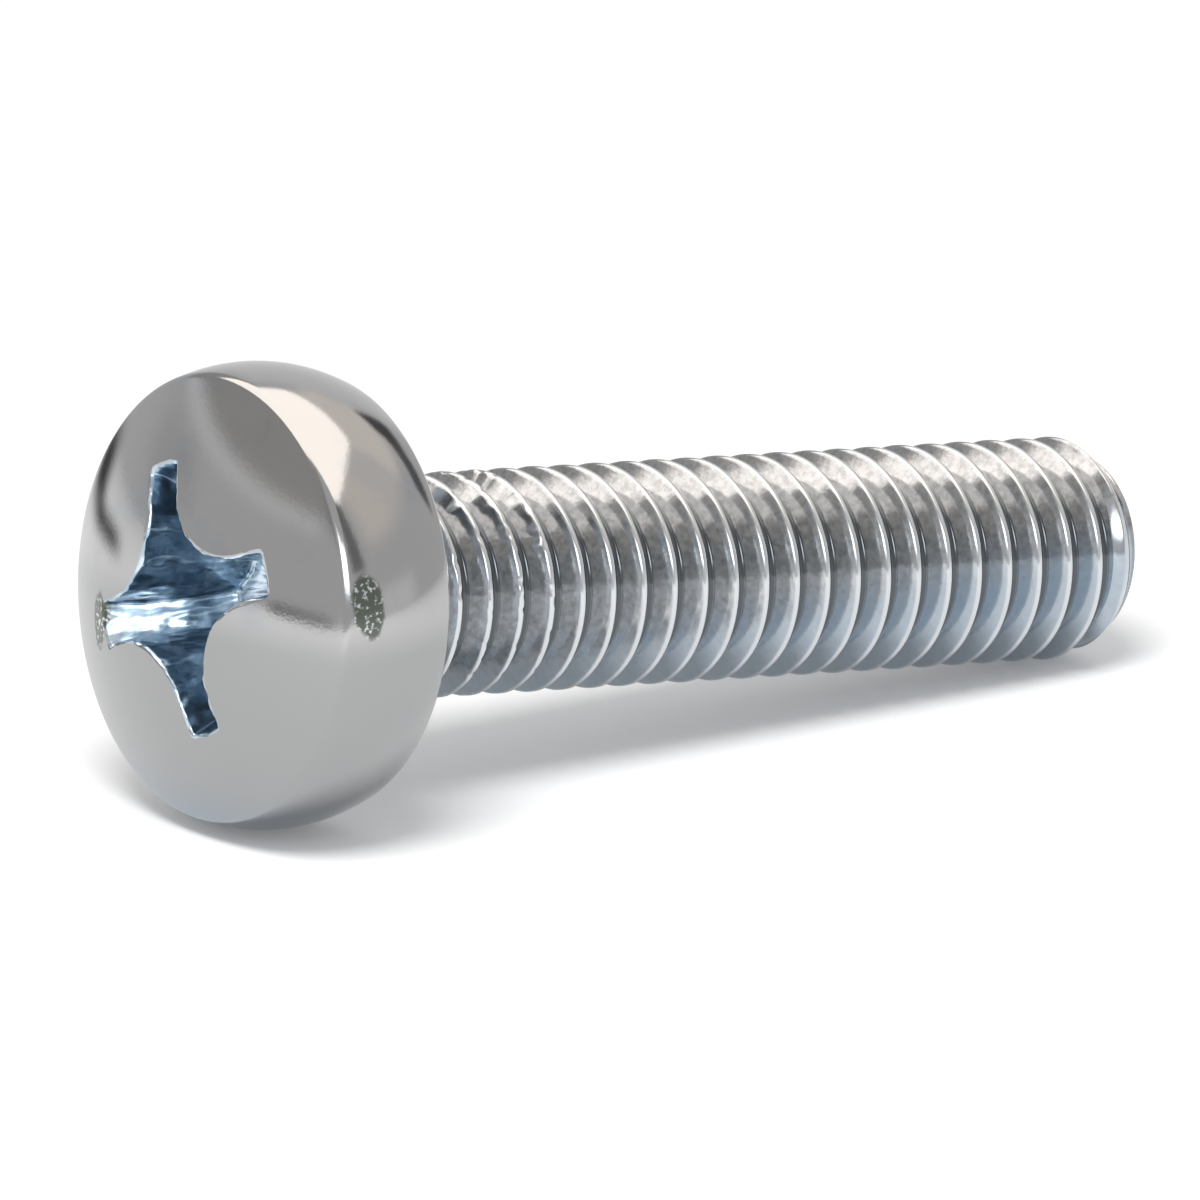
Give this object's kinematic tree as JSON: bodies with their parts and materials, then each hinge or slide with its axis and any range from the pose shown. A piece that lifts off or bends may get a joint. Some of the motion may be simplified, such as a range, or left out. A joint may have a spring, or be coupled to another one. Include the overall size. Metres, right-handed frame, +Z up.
{
  "type": "machine screw",
  "caption": "Zinc plated steel machine screw with a pan head, a cross recess and a thread up to the head.",
  "frame": {"origin": "on the surface the screw lies on, under the middle of its box", "axes": "+X along the screw from its head to its tip, +Z up; the axis of the screw dips 6.93 degrees towards the tip, because the head is wider than the thread"},
  "size_m": [0.03, 0.012, 0.0121],
  "materials": {
    "zinc": "bright blue-white zinc plating"
  },
  "bodies": {
    "root": {"screw": "zinc"}
  },
  "joints": []
}
